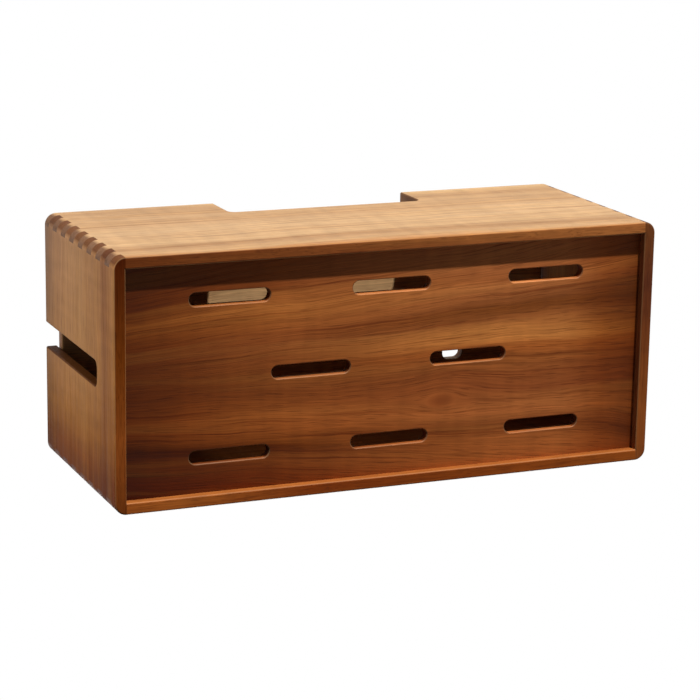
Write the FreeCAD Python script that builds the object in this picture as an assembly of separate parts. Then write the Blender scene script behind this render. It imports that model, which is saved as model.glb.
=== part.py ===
import FreeCAD, Part
import os

# Wooden cable box: finger-jointed walls round a vented bottom, with a lid that drops in between them.
# Millimetres. +X runs to the right, +Y to the back and +Z up, from under the middle of the box.

# Case
case_length = 320.0
case_depth = 140.0
case_height = 130.0
wall_thickness = 6.5
corner_radius = 6.5  # upright outside corners
arris_radius = 1.0  # sanded edges of the walls and the lid
finger_count = 16  # fingers in the height of each corner

# Bottom, housed in a groove that runs round all the walls
bottom_thickness = 6.0
bottom_recess = 5.0  # from the lower rim up to the underside
groove_depth = 3.0
groove_end_gap = 0.5  # room for the wood to swell

# Vents in the bottom, in rows that step by half a pitch
vent_length = 46.0
vent_width = 7.5
vent_pitch = 94.0
vent_row_pitch = 43.5
vent_margin = 12.0  # least wood between a vent and a wall
mouth_chamfer = 0.5  # eased mouths of the vents and of the lid's hole

# Cable notch in the front wall
notch_width = 118.0
notch_drop = 29.0  # down from the upper rim
notch_corner_radius = 4.0

# Cable slots in the end walls
slot_width = 14.0
slot_drop = 98.0  # down from the upper rim
slot_corner_radius = 4.0

# Lid and its hole
lid_thickness = 6.5
lid_end_gap = 1.0
lid_side_gap = 0.5
hole_width = 13.0
hole_length = 41.0
hole_corner_radius = 4.0
hole_from_end = 59.0  # lid's right edge to the middle of the hole
hole_from_back = 49.5  # lid's back edge to the middle of the hole

# Blocks in the inside corners, which carry the lid
block_width = 12.0
block_height = 12.0
block_round = 3.0

# Places that follow from the sizes above
half_length = case_length / 2
half_depth = case_depth / 2
inner_half_length = half_length - wall_thickness
inner_half_depth = half_depth - wall_thickness
finger_height = case_height / finger_count
bottom_top = bottom_recess + bottom_thickness
lid_underside = case_height - lid_thickness
lid_half_length = inner_half_length - lid_end_gap
lid_half_depth = inner_half_depth - lid_side_gap
same_place = 0.001


def block_between(low, high):
    size = [high[axis] - low[axis] for axis in range(3)]
    return Part.makeBox(*size, FreeCAD.Vector(*low))


def rounded_box(half_x, half_y, height, radius):
    # A block on the plane z = 0 whose upright edges are rounded
    block = block_between((-half_x, -half_y, 0), (half_x, half_y, height))
    upright = [edge for edge in block.Edges if spans(edge, "Z") > height / 2]
    return block.makeFillet(radius, upright)


def spans(edge, axis):
    return getattr(edge.BoundBox, axis + "Length")


def lies_at(edge, axis, place):
    low = getattr(edge.BoundBox, axis + "Min")
    high = getattr(edge.BoundBox, axis + "Max")
    return abs(low - place) < same_place and abs(high - place) < same_place


def reaches_past(edge, axis, limit):
    low = getattr(edge.BoundBox, axis + "Min")
    high = getattr(edge.BoundBox, axis + "Max")
    return low < -limit - same_place or high > limit + same_place


def on_rims(edge):
    return lies_at(edge, "Z", 0) or lies_at(edge, "Z", case_height)


def round_notch(edge):
    in_face = lies_at(edge, "Y", -half_depth) or lies_at(edge, "Y", -inner_half_depth)
    return in_face and not reaches_past(edge, "X", notch_width / 2)


def round_slot(edge):
    outside = lies_at(edge, "X", -half_length) or lies_at(edge, "X", half_length)
    inside = lies_at(edge, "X", -inner_half_length) or lies_at(edge, "X", inner_half_length)
    return (outside or inside) and not reaches_past(edge, "Y", slot_width / 2)


def open_topped_cutter(width, drop, radius, reach):
    # Stands across X and runs along Y; its lower corners are rounded and its top clears the rim
    clear_of_rim = 2 * radius
    low = (-width / 2, -reach, case_height - drop)
    high = (width / 2, reach, case_height + clear_of_rim)
    block = block_between(low, high)
    lower = [edge for edge in block.Edges if spans(edge, "Y") > reach and edge.BoundBox.ZMax < case_height]
    return block.makeFillet(radius, lower)


def front_notch():
    cutter = open_topped_cutter(notch_width, notch_drop, notch_corner_radius, wall_thickness)
    return cutter.translated(FreeCAD.Vector(0, -half_depth, 0))


def end_slots():
    cutter = open_topped_cutter(slot_width, slot_drop, slot_corner_radius, case_length)
    return cutter.rotated(FreeCAD.Vector(0, 0, 0), FreeCAD.Vector(0, 0, 1), 90)


def walls():
    # The four walls as one ring, as they are sanded once glued up
    ring = rounded_box(half_length, half_depth, case_height, corner_radius)
    inside = block_between(
        (-inner_half_length, -inner_half_depth, 0),
        (inner_half_length, inner_half_depth, case_height),
    )
    ring = ring.cut(inside).cut(front_notch()).cut(end_slots())
    softened = [edge for edge in ring.Edges if on_rims(edge) or round_notch(edge) or round_slot(edge)]
    return ring.makeFillet(arris_radius, softened).cut(bottom_board(groove_depth))


def bottom_board(reach):
    half_x = inner_half_length + reach
    half_y = inner_half_depth + reach
    return block_between((-half_x, -half_y, bottom_recess), (half_x, half_y, bottom_top))


def corner_fingers(first):
    # Every second finger, from the given one, at all four corners
    fingers = []
    for index in range(first, finger_count, 2):
        for x_low, x_high in ((-half_length, -inner_half_length), (inner_half_length, half_length)):
            for y_low, y_high in ((-half_depth, -inner_half_depth), (inner_half_depth, half_depth)):
                low = (x_low, y_low, index * finger_height)
                high = (x_high, y_high, (index + 1) * finger_height)
                fingers.append(block_between(low, high))
    return fingers


def long_wall(ring, side):
    # Holds the highest finger of each corner; side is -1 at the front and 1 at the back
    y_faces = sorted((side * inner_half_depth, side * half_depth))
    board = block_between((-half_length, y_faces[0], 0), (half_length, y_faces[1], case_height))
    return single_solid(ring.common(board.cut(corner_fingers(0))))


def end_wall(ring, side):
    # Holds the lowest finger of each corner; side is -1 at the left and 1 at the right
    x_faces = sorted((side * inner_half_length, side * half_length))
    board = block_between((x_faces[0], -half_depth, 0), (x_faces[1], half_depth, case_height))
    return single_solid(ring.common(board.cut(corner_fingers(1))))


def vent_centres():
    columns = int((2 * (inner_half_length - vent_margin) - vent_length) // vent_pitch) + 1
    rows = int((2 * (inner_half_depth - vent_margin) - vent_width) // vent_row_pitch) + 1
    centres = []
    for row in range(rows):
        vents_in_row = columns - row % 2
        y = (row - (rows - 1) / 2) * vent_row_pitch
        for vent in range(vents_in_row):
            centres.append(((vent - (vents_in_row - 1) / 2) * vent_pitch, y))
    return centres


def vent_cutter(x, y):
    # A round-ended slot through the bottom board
    start = FreeCAD.Vector(x - (vent_length - vent_width) / 2, y, bottom_recess)
    end = FreeCAD.Vector(x + (vent_length - vent_width) / 2, y, bottom_recess)
    radius = vent_width / 2
    up = FreeCAD.Vector(0, 0, 1)
    across = FreeCAD.Vector(0, radius, 0)
    along = FreeCAD.Vector(radius, 0, 0)
    outline = Part.Wire([
        Part.LineSegment(start - across, end - across).toShape(),
        Part.Arc(end - across, end + along, end + across).toShape(),
        Part.LineSegment(end + across, start + across).toShape(),
        Part.Arc(start + across, start - along, start - across).toShape(),
    ])
    return Part.Face(outline).extrude(up * bottom_thickness)


def bottom_panel():
    board = bottom_board(groove_depth - groove_end_gap)
    board = board.cut([vent_cutter(x, y) for x, y in vent_centres()])
    mouths = [edge for edge in board.Edges if round_vent(edge)]
    return single_solid(board.makeChamfer(mouth_chamfer, mouths) if mouths else board)


def round_vent(edge):
    in_face = lies_at(edge, "Z", bottom_recess) or lies_at(edge, "Z", bottom_top)
    within_x = not reaches_past(edge, "X", inner_half_length)
    return in_face and within_x and not reaches_past(edge, "Y", inner_half_depth)


def lid_panel():
    board = block_between((-lid_half_length, -lid_half_depth, 0), (lid_half_length, lid_half_depth, lid_thickness))
    hole = rounded_box(hole_width / 2, hole_length / 2, lid_thickness, hole_corner_radius)
    hole_x = lid_half_length - hole_from_end
    hole_y = lid_half_depth - hole_from_back
    board = board.makeFillet(arris_radius, face_edges(board))
    outline = set(edge.hashCode() for edge in face_edges(board))
    board = board.cut(hole.translated(FreeCAD.Vector(hole_x, hole_y, 0)))
    mouths = [edge for edge in face_edges(board) if edge.hashCode() not in outline]
    board = board.makeChamfer(mouth_chamfer, mouths)
    return single_solid(board.translated(FreeCAD.Vector(0, 0, lid_underside)))


def face_edges(board):
    return [edge for edge in board.Edges if lies_at(edge, "Z", 0) or lies_at(edge, "Z", lid_thickness)]


def corner_block(side_x, side_y):
    # Glued to both walls of its corner, with its top under the lid
    x_faces = sorted((side_x * inner_half_length, side_x * (inner_half_length - block_width)))
    y_faces = sorted((side_y * inner_half_depth, side_y * (inner_half_depth - block_width)))
    low = (x_faces[0], y_faces[0], lid_underside - block_height)
    high = (x_faces[1], y_faces[1], lid_underside)
    block = block_between(low, high)
    free_x = side_x * (inner_half_length - block_width)
    free_y = side_y * (inner_half_depth - block_width)
    free_edge = [edge for edge in block.Edges if lies_at(edge, "X", free_x) and lies_at(edge, "Y", free_y)]
    return block.makeFillet(block_round, free_edge)


def single_solid(shape):
    return max(shape.Solids, key=lambda solid: solid.Volume)


def pieces():
    ring = walls()
    return {
        "front_panel": long_wall(ring, -1),
        "back_panel": long_wall(ring, 1),
        "left_end_panel": end_wall(ring, -1),
        "right_end_panel": end_wall(ring, 1),
        "bottom_panel": bottom_panel(),
        "lid_panel": lid_panel(),
        "front_left_corner_block": corner_block(-1, -1),
        "front_right_corner_block": corner_block(1, -1),
        "back_left_corner_block": corner_block(-1, 1),
        "back_right_corner_block": corner_block(1, 1),
    }


os.makedirs("parts", exist_ok=True)
for name, shape in pieces().items():
    shape.exportStep("parts/" + name + ".step")
    print(name, "solids", len(shape.Solids), "valid", shape.isValid(), "volume", round(shape.Volume))
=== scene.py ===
import bpy
from mathutils import Matrix, Vector


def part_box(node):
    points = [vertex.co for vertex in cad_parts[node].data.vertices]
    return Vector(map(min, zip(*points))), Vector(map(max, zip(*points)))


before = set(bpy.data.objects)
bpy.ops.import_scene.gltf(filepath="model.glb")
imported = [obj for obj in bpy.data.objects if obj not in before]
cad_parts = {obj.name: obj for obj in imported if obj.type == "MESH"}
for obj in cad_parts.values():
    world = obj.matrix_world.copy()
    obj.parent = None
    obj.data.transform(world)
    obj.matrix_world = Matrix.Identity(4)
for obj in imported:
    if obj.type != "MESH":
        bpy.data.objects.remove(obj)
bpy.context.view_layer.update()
bpy.context.scene.view_settings.view_transform = "Standard"
print("frame loaded:", len(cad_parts), "boards")


def linear(hexColour):
    # sRGB hex to the linear values that a shader takes
    parts = [int(hexColour[start:start + 2], 16) / 255 for start in (1, 3, 5)]
    parts = [part / 12.92 if part <= 0.04045 else ((part + 0.055) / 1.055) ** 2.4 for part in parts]
    return parts + [1.0]


def addNode(tree, kind, inputs, **settings):
    # one node with its settings; each input, by name or number, is a value, a hex colour, or a node or
    # socket to link, and a node gives the first output that it has in use
    node = tree.nodes.new("ShaderNode" + kind)
    for name, value in settings.items():
        setattr(node, name, value)
    for name, value in inputs.items():
        if isinstance(value, bpy.types.Node):
            value = next(socket for socket in value.outputs if socket.enabled)
        if isinstance(value, bpy.types.NodeSocket):
            tree.links.new(value, node.inputs[name])
        else:
            node.inputs[name].default_value = linear(value) if isinstance(value, str) else value
    return node


def newMaterial(name):
    material = bpy.data.materials.new(name)
    material.use_nodes = True
    material.node_tree.nodes.clear()
    return material


# Camera: below and in front of the box, as in the large view of the photograph
camera = {
    "place": (-0.5371, -0.3361, -1.2079),
    "look": (0.3779, 0.2411, 0.8939),
    "up": (0.0785, -0.9704, 0.2286),
    "lens": 127.95,
    "sensor": 36.0,
}


def makeCamera():
    data = bpy.data.cameras.new("photoCamera")
    data.lens = camera["lens"]
    data.sensor_width = camera["sensor"]
    back = -Vector(camera["look"]).normalized()
    right = Vector(camera["up"]).cross(back).normalized()
    up = back.cross(right)
    turn = Matrix((right, up, back)).transposed().to_4x4()
    shot = bpy.data.objects.new("photoCamera", data)
    shot.matrix_world = Matrix.Translation(camera["place"]) @ turn
    bpy.context.scene.collection.objects.link(shot)
    bpy.context.scene.camera = shot


makeCamera()
print("camera placed")


# Studio: a firm light from low in front, and broad soft ones above the back and at the left
lights = {
    "key": {"towards": (0.1, -0.94, -0.34), "strength": 4.1, "spread": 0.03},
    "over": {"place": (0.5, 0.9, 1.0), "size": 1.4, "power": 24.0},
    "left": {"place": (-1.1, -0.45, 0.3), "size": 0.6, "power": 8.0},
    "fill": 0.1,
}


def makeSun(name, towards, strength, spread):
    data = bpy.data.lights.new(name, "SUN")
    data.energy = strength
    data.angle = spread
    lamp = bpy.data.objects.new(name, data)
    lamp.rotation_euler = Vector(towards).to_track_quat("Z", "Y").to_euler()
    bpy.context.scene.collection.objects.link(lamp)


def makeSoftLight(name, place, size, power):
    data = bpy.data.lights.new(name, "AREA")
    data.shape = "DISK"
    data.size = size
    data.energy = power
    lamp = bpy.data.objects.new(name, data)
    lamp.location = place
    lamp.rotation_euler = Vector(place).to_track_quat("Z", "Y").to_euler()
    bpy.context.scene.collection.objects.link(lamp)


def makeWorld():
    # white where it is seen or mirrored, a soft fill for everything else
    world = bpy.data.worlds.new("studio")
    bpy.context.scene.world = world
    world.use_nodes = True
    tree = world.node_tree
    tree.nodes.clear()
    path = addNode(tree, "LightPath", {})
    seen = path.outputs["Is Camera Ray"]
    for ray in ("Is Glossy Ray", "Is Transmission Ray"):
        seen = addNode(tree, "Math", {0: seen, 1: path.outputs[ray]}, operation="MAXIMUM")
    strength = addNode(tree, "MapRange", {0: seen, 3: lights["fill"], 4: 1.0})
    sky = addNode(tree, "Background", {"Color": "#ffffff", "Strength": strength})
    addNode(tree, "OutputWorld", {"Surface": sky})


# Floor: pale paper, seen from above only. From below it lets the camera and the light through, and from
# near to far, in metres from the box, it fades into the white backdrop
sheet = {"half": 4.0, "drop": 0.0002, "colour": "#e6e4e1", "near": 0.3, "far": 1.5}


def makeFloor():
    material = newMaterial("paleFloor")
    tree = material.node_tree
    path = addNode(tree, "LightPath", {})
    face = addNode(tree, "NewGeometry", {})
    front = addNode(tree, "Math", {0: 1.0, 1: face.outputs["Backfacing"]}, operation="SUBTRACT")
    seen = addNode(tree, "Math", {0: path.outputs["Is Camera Ray"], 1: front}, operation="MULTIPLY")
    where = addNode(tree, "TexCoord", {})
    away = addNode(tree, "VectorMath", {0: where.outputs["Object"]}, operation="LENGTH")
    fade = addNode(tree, "MapRange", {
        0: away, 1: sheet["near"], 2: sheet["far"], 3: 1.0, 4: 0.0,
    }, interpolation_type="SMOOTHSTEP")
    shown = addNode(tree, "Math", {0: seen, 1: fade}, operation="MULTIPLY")
    clear = addNode(tree, "BsdfTransparent", {})
    paper = addNode(tree, "BsdfDiffuse", {"Color": sheet["colour"]})
    mix = addNode(tree, "MixShader", {0: shown, 1: clear, 2: paper})
    addNode(tree, "OutputMaterial", {"Surface": mix})
    bpy.ops.mesh.primitive_plane_add(size=2 * sheet["half"], location=(0, 0, -sheet["drop"]))
    floor = bpy.context.object
    floor.name = "paleFloor"
    floor.data.materials.append(material)


makeSun("keyLight", **lights["key"])
makeSoftLight("overLight", **lights["over"])
makeSoftLight("leftLight", **lights["left"])
makeWorld()
makeFloor()
print("studio lit")


# Oiled acacia. Brown and golden bands run along each board, crossed by a faint ripple, with fine dark
# lines and short dark pores; a thin oil leaves a satin surface that only shines at a low angle. End
# grain drinks more oil and turns dark, which is what draws the fingers at the corners; the rounded
# edges get a paler tone, a painted highlight along them.
wood = {
    # noise drawn out along the grain: mm along it and across it, what it adds to the board's seed, and
    # the noise's own detail and roughness
    "bend": {"length": 170.0, "width": 170.0 / 3, "seed": 0.0, "detail": 1.0, "rough": 0.5},
    "wobble": {"length": 40.0, "width": 40.0 / 3, "seed": 5.0, "detail": 2.0, "rough": 0.5},
    "broad": {"length": 240.0, "width": 9.0, "seed": 7.0, "detail": 1.0, "rough": 0.5},
    "streak": {"length": 150.0, "width": 2.2, "seed": 11.0, "detail": 3.0, "rough": 0.6},
    "fine": {"length": 34.0, "width": 0.6, "seed": 19.0, "detail": 2.0, "rough": 0.5},
    # a real pore is 0.2 mm wide, drawn coarser so that it shows
    "pore": {"length": 11.0, "width": 0.36, "seed": 23.0, "detail": 0.0, "rough": 0.5},
    "ripple": {"length": 8.0, "width": 40.0, "seed": 31.0, "detail": 1.0, "rough": 0.5},
    "seedSteps": (1.0, 1.7, 0.6),  # how far a seed moves the noise along each axis
    "noiseSpan": (0.3, 0.7),  # where most of a noise's values lie

    # mm that the grain lines and the edges of the bands wander
    "bendReach": 9.0,
    "wobbleReach": 1.6,
    "bandReach": 5.0,

    # tones laid over the bands: where each starts and is full, its share there, and how it blends
    "darkStreaks": {"starts": 0.44, "full": 0.3, "mode": "MULTIPLY", "tone": "#9a6844"},
    "goldStreaks": {"starts": 0.5, "full": 0.72, "share": 0.22, "mode": "SCREEN", "tone": "#a06a30"},
    "pores": {"starts": 0.64, "full": 0.74, "share": 0.36, "mode": "MULTIPLY", "tone": "#6a3c20"},
    "endGrain": {"starts": 0.15, "full": 0.5, "share": 0.85, "mode": "MULTIPLY", "tone": "#74502c"},
    # a painted highlight: a pale tone laid on the rounded edges, where the surface slants
    "paintedEdgeHighlight": {"starts": 0.08, "full": 0.2, "share": 0.13, "mode": "MIX", "tone": "#f0c08a"},
    "underside": {"starts": -0.6, "full": -0.9, "share": 1.0, "mode": "MIX"},

    "grain": (0.82, 1.14),  # darkest and lightest of the fine lines
    "rippleShade": (0.93, 1.06),
    "roughness": (0.56, 0.42),
    "specular": 0.1,
    "ior": 1.5,
    "bumpStrength": 0.6,
    "bumpHeight": 0.00012,  # metres
}

# axes: along the grain, across it and through the board; bands: tones across the board from its low
# side, over the width in mm; along: tones that multiply them from its low end; rim: tones of the edge
# that it stands on; streaks: share of the dark streaks
boards = {
    "front_panel": {
        "axes": "XZY", "seed": 3.0, "width": 130.0, "streaks": 0.45, "wobble": 2.4,
        # the pale tan of the face is partly its wood and partly painted sheen, the low-angle shine of
        # its oil
        "bands": [(0.0, "#ba7c42"), (0.06, "#c29666"), (0.14, "#ab7e50"), (0.22, "#c59b6c"),
                  (0.5, "#c59c6e"), (0.62, "#b98e60"), (0.8, "#ba9062"), (0.94, "#b2875a"),
                  (1.0, "#caa272")],
        "along": [(0.0, "#f2f2f2"), (1.0, "#ffffff")],
        "rim": [(0.0, "#733812"), (0.45, "#955226"), (1.0, "#b96e38")],
    },
    "back_panel": {
        "axes": "XZY", "seed": 17.0, "width": 130.0, "streaks": 0.5,
        "bands": [(0.0, "#a7602a"), (0.2, "#8e4c22"), (0.45, "#a5642f"), (0.7, "#8a4a22"),
                  (1.0, "#a0622f")],
        "rim": [(0.0, "#a4541c"), (0.12, "#b06024"), (0.35, "#863a0c"), (1.0, "#9e5018")],
    },
    "left_end_panel": {
        "axes": "YZX", "seed": 29.0, "width": 130.0, "streaks": 0.2, "wobble": 2.4, "specular": 0.02,
        "bands": [(0.0, "#b07a48"), (0.12, "#966440"), (0.3, "#b07f54"), (0.5, "#b8885c"),
                  (0.7, "#b78860"), (0.85, "#a67a58"), (1.0, "#8a6850")],
        "along": [(0.0, "#ffffff"), (0.5, "#fff4d8"), (0.75, "#e4c684"), (0.88, "#b48230"),
                  (1.0, "#8c5610")],
        "rim": [(0.0, "#57220a"), (0.4, "#7d3d10"), (0.75, "#9c511f"), (1.0, "#7a3d16")],
    },
    "right_end_panel": {
        "axes": "YZX", "seed": 41.0, "width": 130.0, "streaks": 0.5,
        "bands": [(0.0, "#8a5230"), (0.3, "#a2683e"), (0.6, "#8a4e2a"), (0.8, "#a66c40"),
                  (1.0, "#8c5632")],
        "rim": [(0.0, "#7b4520"), (0.25, "#66321a"), (0.75, "#985120"), (1.0, "#8a471c")],
    },
    # the bottom's grain fans out towards the right and flows round a knot, given in mm with its reach
    # and its stretch along the grain; the knot's dark core goes by square mm from its middle, and the
    # bands turn into the far ones over a stretch of mm along the board
    "bottom_panel": {
        "axes": "XYZ", "seed": 53.0, "width": 132.0, "streaks": 0.6, "grain": (0.82, 1.15),
        "fan": 0.0018,
        "knot": {"x": 31.0, "y": 24.0, "reach": 7.0, "stretch": 2.3},
        "core": {"starts": 4.0 ** 2, "full": 0.0, "share": 0.4, "mode": "MULTIPLY", "tone": "#8a5030"},
        # the first two stops, along the front edge, are darkened: painted shadow under the front rim, on
        # top of the shadow that it casts
        "bands": [(0.0, "#8a4a20"), (0.12, "#904c22"), (0.21, "#cc7e3e"), (0.26, "#b86c32"),
                  (0.33, "#a65c2c"), (0.41, "#9c562a"), (0.5, "#985426"), (0.6, "#8c4a20"),
                  (0.71, "#b0622c"), (0.76, "#a85c28"), (0.82, "#74390f"), (0.86, "#5e280a"),
                  (0.9, "#84451c"), (1.0, "#702f0c")],
        "farBands": [(0.0, "#be7646"), (0.22, "#bc6c38"), (0.26, "#d27e44"), (0.32, "#9c582c"),
                     (0.36, "#8a4a1e"), (0.4, "#ac6432"), (0.45, "#de8c46"), (0.5, "#bc682e"),
                     (0.57, "#a1582a"), (0.64, "#9c5228"), (0.71, "#c06e38"), (0.77, "#8b4920"),
                     (0.81, "#b0622e"), (1.0, "#a85a26")],
        "turn": {"starts": -70.0, "full": 60.0, "share": 1.0, "mode": "MIX"},
        # darker and greyer towards both ends: painted shade along the end walls of the recess
        "along": [(0.0, "#96806a"), (0.12, "#cab8a6"), (0.3, "#fff8f0"), (0.84, "#ffffff"),
                  (0.92, "#d4c0a8"), (1.0, "#988066")],
    },
    "lid_panel": {
        "axes": "XYZ", "seed": 67.0, "width": 126.0, "streaks": 0.35,
        # the light tan is partly its wood and partly painted top light and sheen
        "bands": [(0.0, "#d3a571"), (0.2, "#c99a66"), (0.42, "#d8ab78"), (0.6, "#cc9d68"),
                  (0.8, "#d6a874"), (1.0, "#c6945e")],
    },
    "front_left_corner_block": {
        "axes": "ZXY", "seed": 71.0, "width": 24.0, "streaks": 0.4,
        "bands": [(0.0, "#96603a"), (1.0, "#7e4a2a")],
    },
    "front_right_corner_block": {
        "axes": "ZXY", "seed": 83.0, "width": 24.0, "streaks": 0.4,
        "bands": [(0.0, "#8a5634"), (1.0, "#96603a")],
    },
    "back_left_corner_block": {
        "axes": "ZXY", "seed": 97.0, "width": 24.0, "streaks": 0.4,
        "bands": [(0.0, "#7e4a2a"), (1.0, "#8a5634")],
    },
    "back_right_corner_block": {
        "axes": "ZXY", "seed": 101.0, "width": 24.0, "streaks": 0.4,
        "bands": [(0.0, "#96603a"), (1.0, "#8a5634")],
    },
}
mmPerMetre = 1000.0


def grainPlace(tree, where, axes):
    # millimetres along the grain, across it, and through the board
    metres = where.outputs["Object"]
    scaled = addNode(tree, "VectorMath", {0: metres, "Scale": mmPerMetre}, operation="SCALE")
    parts = addNode(tree, "SeparateXYZ", {0: scaled})
    return addNode(tree, "CombineXYZ", {number: parts.outputs[axis] for number, axis in enumerate(axes)})


def stretchedNoise(tree, place, boardSeed, length, width, seed, detail, rough):
    # one feature is about length by width millimetres
    start = boardSeed + seed
    moved = addNode(tree, "Mapping", {
        "Vector": place,
        "Location": [start * step for step in wood["seedSteps"]],
        "Scale": (1 / length, 1 / width, 1 / width),
    })
    return addNode(tree, "TexNoise", {
        "Vector": moved, "Scale": 1.0, "Detail": detail, "Roughness": rough,
    })


def shiftAcross(tree, place, noise, reach):
    # pushes the grain lines sideways by up to reach millimetres each way; a noise swings round 0.5
    centred = addNode(tree, "Math", {0: noise, 1: 0.5}, operation="SUBTRACT")
    pushed = addNode(tree, "Math", {0: centred, 1: 2 * reach}, operation="MULTIPLY")
    push = addNode(tree, "CombineXYZ", {"Y": pushed})
    return addNode(tree, "VectorMath", {0: place, 1: push}, operation="ADD")


def fannedPlace(tree, place, fan, knot):
    # grain lines that spread towards one end and flow round a knot, and how far the knot is, squared
    parts = addNode(tree, "SeparateXYZ", {0: place})
    along, across = parts.outputs["X"], parts.outputs["Y"]
    narrowed = addNode(tree, "Math", {0: along, 1: -fan}, operation="MULTIPLY")
    narrowed = addNode(tree, "Math", {0: narrowed, 1: 1.0}, operation="ADD")
    fanned = addNode(tree, "Math", {0: across, 1: narrowed}, operation="MULTIPLY")
    dx = addNode(tree, "Math", {0: along, 1: knot["x"]}, operation="SUBTRACT")
    dx = addNode(tree, "Math", {0: dx, 1: knot["stretch"]}, operation="DIVIDE")
    dy = addNode(tree, "Math", {0: across, 1: knot["y"]}, operation="SUBTRACT")
    squareX = addNode(tree, "Math", {0: dx, 1: dx}, operation="MULTIPLY")
    squareY = addNode(tree, "Math", {0: dy, 1: dy}, operation="MULTIPLY")
    away = addNode(tree, "Math", {0: squareX, 1: squareY}, operation="ADD")
    softened = addNode(tree, "Math", {0: away, 1: knot["reach"] ** 2}, operation="ADD")
    calm = addNode(tree, "Math", {0: away, 1: softened}, operation="DIVIDE")
    pull = addNode(tree, "Math", {0: calm, 1: 1.0}, operation="SUBTRACT")
    pull = addNode(tree, "Math", {0: dy, 1: pull}, operation="MULTIPLY")
    moved = addNode(tree, "Math", {0: fanned, 1: pull}, operation="ADD")
    return addNode(tree, "CombineXYZ", {0: along, 1: moved, 2: parts.outputs["Z"]}), away


def facing(tree, where, grainAxis):
    # how far the surface cuts across the grain, how far it faces up, and how far it slants
    parts = addNode(tree, "SeparateXYZ", {0: where.outputs["Normal"]})
    endOn = addNode(tree, "Math", {0: parts.outputs[grainAxis]}, operation="ABSOLUTE")
    up = parts.outputs["Z"]
    level = addNode(tree, "Math", {0: up, 1: up}, operation="MULTIPLY")
    upright = addNode(tree, "Math", {0: 1.0, 1: level}, operation="SUBTRACT")
    return endOn, up, addNode(tree, "Math", {0: level, 1: upright}, operation="MULTIPLY")


def rampAlong(tree, value, low, high, tones):
    # a colour ramp over the given stretch of a value
    place = addNode(tree, "MapRange", {0: value, 1: low, 2: high})
    ramp = addNode(tree, "ValToRGB", {0: place})
    stops = ramp.color_ramp.elements
    for position, tone in tones[1:-1]:
        stops.new(position).color = linear(tone)
    stops[0].color = linear(tones[0][1])
    stops[len(stops) - 1].color = linear(tones[-1][1])
    return ramp


def layTone(tree, colour, value, starts, full, share, mode, tone):
    # lays a tone over the colour, from nothing where the value starts to its share where it is full
    shown = addNode(tree, "MapRange", {0: value, 1: starts, 2: full, 4: share})
    return addNode(tree, "Mix", {0: shown, 6: colour, 7: tone}, data_type="RGBA", blend_type=mode)


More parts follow.
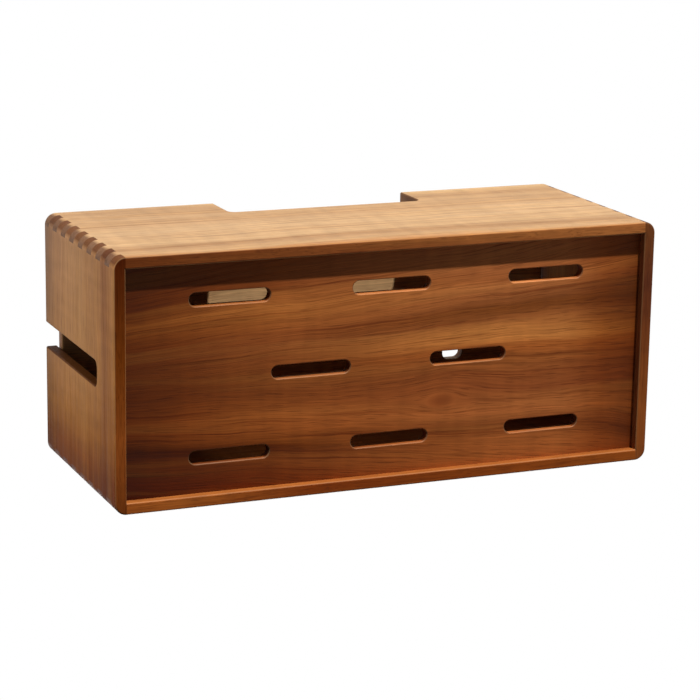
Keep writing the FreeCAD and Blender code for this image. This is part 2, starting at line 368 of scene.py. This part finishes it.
def oiledAcacia(name, board, start, ends):
    # start: the board's low side; ends: its low and high end, all in millimetres
    material = newMaterial("oiledAcacia_" + name)
    tree = material.node_tree
    seed = board["seed"]
    where = addNode(tree, "TexCoord", {})
    straight = grainPlace(tree, where, board["axes"])
    bend = stretchedNoise(tree, straight, seed, **wood["bend"])
    place = shiftAcross(tree, straight, bend, wood["bendReach"])
    if "knot" in board:
        place, fromKnot = fannedPlace(tree, place, board["fan"], board["knot"])
    wobble = stretchedNoise(tree, place, seed, **wood["wobble"])
    place = shiftAcross(tree, place, wobble, board.get("wobble", wood["wobbleReach"]))
    broad = stretchedNoise(tree, place, seed, **wood["broad"])
    streak = stretchedNoise(tree, place, seed, **wood["streak"])
    fine = stretchedNoise(tree, place, seed, **wood["fine"])
    pore = stretchedNoise(tree, place, seed, **wood["pore"])
    ripple = stretchedNoise(tree, straight, seed, **wood["ripple"])
    low, high = wood["noiseSpan"]

    drifted = shiftAcross(tree, place, broad, wood["bandReach"])
    across = addNode(tree, "SeparateXYZ", {0: drifted}).outputs["Y"]
    along = addNode(tree, "SeparateXYZ", {0: straight}).outputs["X"]
    colour = rampAlong(tree, across, start, start + board["width"], board["bands"])
    if "farBands" in board:
        far = rampAlong(tree, across, start, start + board["width"], board["farBands"])
        colour = layTone(tree, colour, along, **board["turn"], tone=far)
    if "knot" in board:
        colour = layTone(tree, colour, fromKnot, **board["core"])
    if "along" in board:
        lengthwise = rampAlong(tree, along, *ends, board["along"])
        colour = addNode(tree, "Mix", {0: 1.0, 6: colour, 7: lengthwise},
                         data_type="RGBA", blend_type="MULTIPLY")
    endOn, up, slant = facing(tree, where, board["axes"][0])
    if "rim" in board:
        rim = rampAlong(tree, along, *ends, board["rim"])
        colour = layTone(tree, colour, up, **wood["underside"], tone=rim)
    colour = layTone(tree, colour, streak, **wood["darkStreaks"], share=board["streaks"])
    colour = layTone(tree, colour, broad, **wood["goldStreaks"])

    dark, pale = board.get("grain", wood["grain"])
    lines = addNode(tree, "MapRange", {0: fine, 1: low, 2: high, 3: dark, 4: pale})
    dark, pale = wood["rippleShade"]
    waves = addNode(tree, "MapRange", {0: ripple, 1: low, 2: high, 3: dark, 4: pale})
    shade = addNode(tree, "Math", {0: lines, 1: waves}, operation="MULTIPLY")
    colour = addNode(tree, "Mix", {0: 1.0, 6: colour, 7: shade},
                     data_type="RGBA", blend_type="MULTIPLY")
    colour = layTone(tree, colour, pore, **wood["pores"])
    colour = layTone(tree, colour, endOn, **wood["endGrain"])
    # painted highlight: a pale tone on the rounded edges, where the surface slants
    colour = layTone(tree, colour, slant, **wood["paintedEdgeHighlight"])

    matt, satin = wood["roughness"]
    rough = addNode(tree, "MapRange", {0: streak, 1: low, 2: high, 3: matt, 4: satin})
    pits = wood["pores"]
    pitted = addNode(tree, "MapRange", {0: pore, 1: pits["starts"], 2: pits["full"], 4: pits["share"]})
    relief = addNode(tree, "Math", {0: fine, 1: pitted}, operation="SUBTRACT")
    bump = addNode(tree, "Bump", {
        "Strength": wood["bumpStrength"], "Distance": wood["bumpHeight"], "Height": relief,
    })
    surface = addNode(tree, "BsdfPrincipled", {
        "Base Color": colour,
        "Roughness": rough,
        "Specular IOR Level": board.get("specular", wood["specular"]),
        "IOR": wood["ior"],
        "Normal": bump,
    })
    addNode(tree, "OutputMaterial", {"Surface": surface})
    return material


def dressBoards():
    for name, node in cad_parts.items():
        board = boards[name]
        low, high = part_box(name)
        along, across = ["XYZ".index(axis) for axis in board["axes"][:2]]
        ends = (low[along] * mmPerMetre, high[along] * mmPerMetre)
        material = oiledAcacia(name, board, low[across] * mmPerMetre, ends)
        node.data.materials.clear()
        node.data.materials.append(material)


dressBoards()
print("boards oiled")
